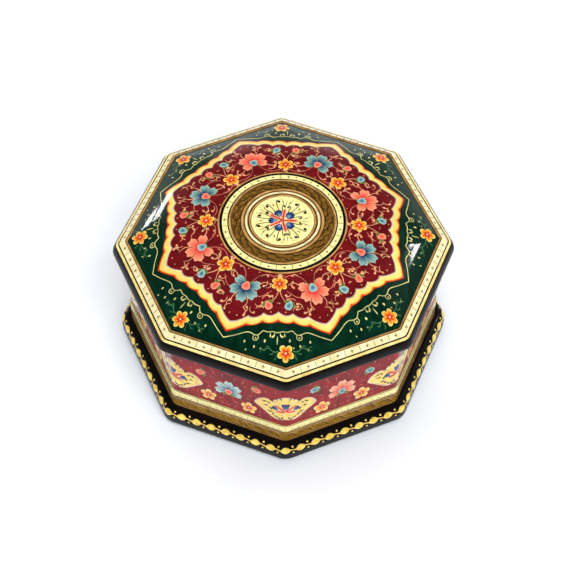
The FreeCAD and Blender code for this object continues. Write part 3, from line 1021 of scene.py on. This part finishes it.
# ---- chain of gold beads on the plinth
def bead_chain():
    gold = paint("plinth_beads", BEAD, "gold_string", "box")
    link = paint("plinth_links", BEAD_LINK, "gold_string", "box")
    half = (PLINTH_SIDE - PLINTH_ROUND) * tan(HALF) + BEAD_ROUND * HALF
    beads = 8
    pitch = 2 * half / beads
    bead = circle(1.0, 24) * (pitch * 0.31, 1.4)
    bead[:, 1] *= 1 - 0.12 * np.cos(2 * np.arctan2(bead[:, 1], bead[:, 0]))
    widths = [0.8, 0.7, 0.6, 0.55, 0.5, 0.55, 0.6, 0.7, 0.8]
    for index in range(SIDES):
        surface = on_plinth(index)
        for k in range(beads):
            u = k * pitch - half
            x, y = u + rng.uniform(-0.15, 0.15), rng.uniform(-0.1, 0.1)
            gold.lay(moved(fan(bead, 4), x, y, 0.12), 0.02, surface, bulge=0.22)
            line = spline([(u + pitch * 0.22, 0.35), (u + pitch * 0.5, 0.1), (u + pitch * 0.78, -0.35)], 4)
            link.lay(ribbon(line, widths), 0.07, surface)
            for w in (1.5, -1.4):
                gold.lay(moved(fan(circle(0.46, 10), 2), u + pitch / 2, w), 0.02, surface, bulge=0.1)


# ---- dressing the carried-over pieces
def dress():
    """Every node gets the look of its slot, but four kinds of inlay have a look of their own."""
    looks = {"felt": FELT, "black_lacquer": BLACK, "red_lacquer": WALL_RED, "khatam_brown": BROWN,
             "cream_inlay": BONE, "gold_string": GOLD, "green_lacquer": GREEN, "velvet": VELVET}
    own = {"lid_inner_string": DEEP_BRONZE, "lid_outer_string": PALE_GOLD, "khatam_band": FOOT,
           "foot_strip": CREAM}
    slot_of = {part["node"]: part["material_slot"] for part in frame["record"]["subparts"]}
    for name, node in frame["nodes"].items():
        kind = name.rstrip("_12345678")
        for place in node.material_slots:
            place.material = own.get(kind, looks[slot_of[name]])


# ---- floor, light and camera
def floor():
    reach = 6.0
    corners = [(-reach, -reach, 0), (reach, -reach, 0), (reach, reach, 0), (-reach, reach, 0)]
    mesh = bpy.data.meshes.new("floor")
    mesh.from_pydata(corners, [], [(0, 1, 2, 3)])
    paper = two_tone((243, 247, 254), (245, 249, 255))
    mesh.materials.append(finish("floor_paper", paper, rough=0.9, coat=0.0, mottle=0.0, grain=30, bump=0.0))
    add("floor", mesh)


def put(name, data, right, up, back, place):
    """New object at a place, with its own axes along the three given directions."""
    matrix = Matrix((right, up, back)).transposed().to_4x4()
    matrix.translation = place
    thing = add(name, data)
    thing.matrix_world = matrix
    return thing


def lamp(name, ends, width, power, distance=1.3):
    """Straight tube of light that faces the box, between two places given as (azimuth, elevation)."""
    places = []
    for azimuth, elevation in ends:
        azimuth, elevation = radians(azimuth), radians(elevation)
        level = cos(elevation)
        places.append(Vector((cos(azimuth) * level, sin(azimuth) * level, sin(elevation))) * distance)
    centre = (places[0] + places[1]) / 2
    along = places[1] - places[0]
    back = centre.normalized()
    up = back.cross(along.normalized()).normalized()
    data = bpy.data.lights.new(name, "AREA")
    data.shape = "RECTANGLE"
    data.size = along.length
    data.size_y = width
    data.energy = power
    put(name, data, up.cross(back), up, back, centre)


def sun(name, toward, strength):
    """Wide, soft sun that leaves no highlight of its own."""
    data = bpy.data.lights.new(name, "SUN")
    data.energy = strength
    data.angle = radians(50)
    thing = add(name, data)
    thing.visible_glossy = False
    thing.rotation_euler = Vector(toward).to_track_quat("Z", "Y").to_euler()


def lighting():
    """Surroundings bright at the horizon and dark above, two soft suns and four tubes."""
    world = bpy.data.worlds.new("studio")
    bpy.context.scene.world = world
    nodes = Nodes(world)
    where = nodes.add("TexCoord").outputs["Generated"]
    split = nodes.add("SeparateXYZ", {"Vector": where})
    ramp = nodes.add("ValToRGB", {"Fac": split.outputs["Z"]})
    stops = ((0.0, 0.9), (0.10, 0.9), (0.27, 0.12), (0.45, 0.03), (1.0, 0.03))
    fill_ramp(ramp, [(place, (value, value, value * 1.01, 1)) for place, value in stops])
    nodes.fill(nodes.tree.nodes["Background"], {"Color": ramp.outputs["Color"], "Strength": 1.0})
    sun("key_light", (0.18, -0.68, 1.1), 2.8)
    sun("back_light", (-0.14, 0.4, 1.0), 1.3)
    for name, ends, power in (("left_tube_1", ((125.6, 11.2), (124.6, 14.0)), 0.3),
                              ("left_tube_2", ((124.0, 15.0), (123.0, 18.2)), 0.3),
                              ("right_tube_1", ((27.7, 40.7), (25.7, 38.9)), 0.6),
                              ("right_tube_2", ((24.9, 38.3), (22.5, 36.3)), 0.6)):
        lamp(name, ends, 0.03, power)
    bpy.context.scene.view_settings.view_transform = "Standard"


def camera():
    """Camera from the fit to the photograph, with its focal length in pixels."""
    focal, picture, sensor, distance = 2084.2, 570.0, 36.0, 0.9364
    lift, swing, roll = radians(52.97), radians(-1.07), radians(-0.31)
    shift_x, shift_y = 0.00068, 0.01812
    back = Vector((sin(swing) * cos(lift), -cos(swing) * cos(lift), sin(lift)))
    right = Vector((cos(swing), sin(swing), 0))
    up = back.cross(right)
    tilted = right * cos(roll) - up * sin(roll)
    upright = right * sin(roll) + up * cos(roll)
    data = bpy.data.cameras.new("camera")
    data.sensor_width = sensor
    data.lens = sensor * focal / picture
    data.clip_start = 0.01
    place = back * distance + right * shift_x + up * shift_y
    bpy.context.scene.camera = put("camera", data, tilted, upright, back, place)


crown_piece()
medallion()
star_line()
medallion_flowers()
corner_flowers()
centre_rings()
centre_star()
border_marks()
foot_marks()
walls()
bead_chain()
for piece in paints.values():
    piece.build()
dress()
floor()
lighting()
camera()
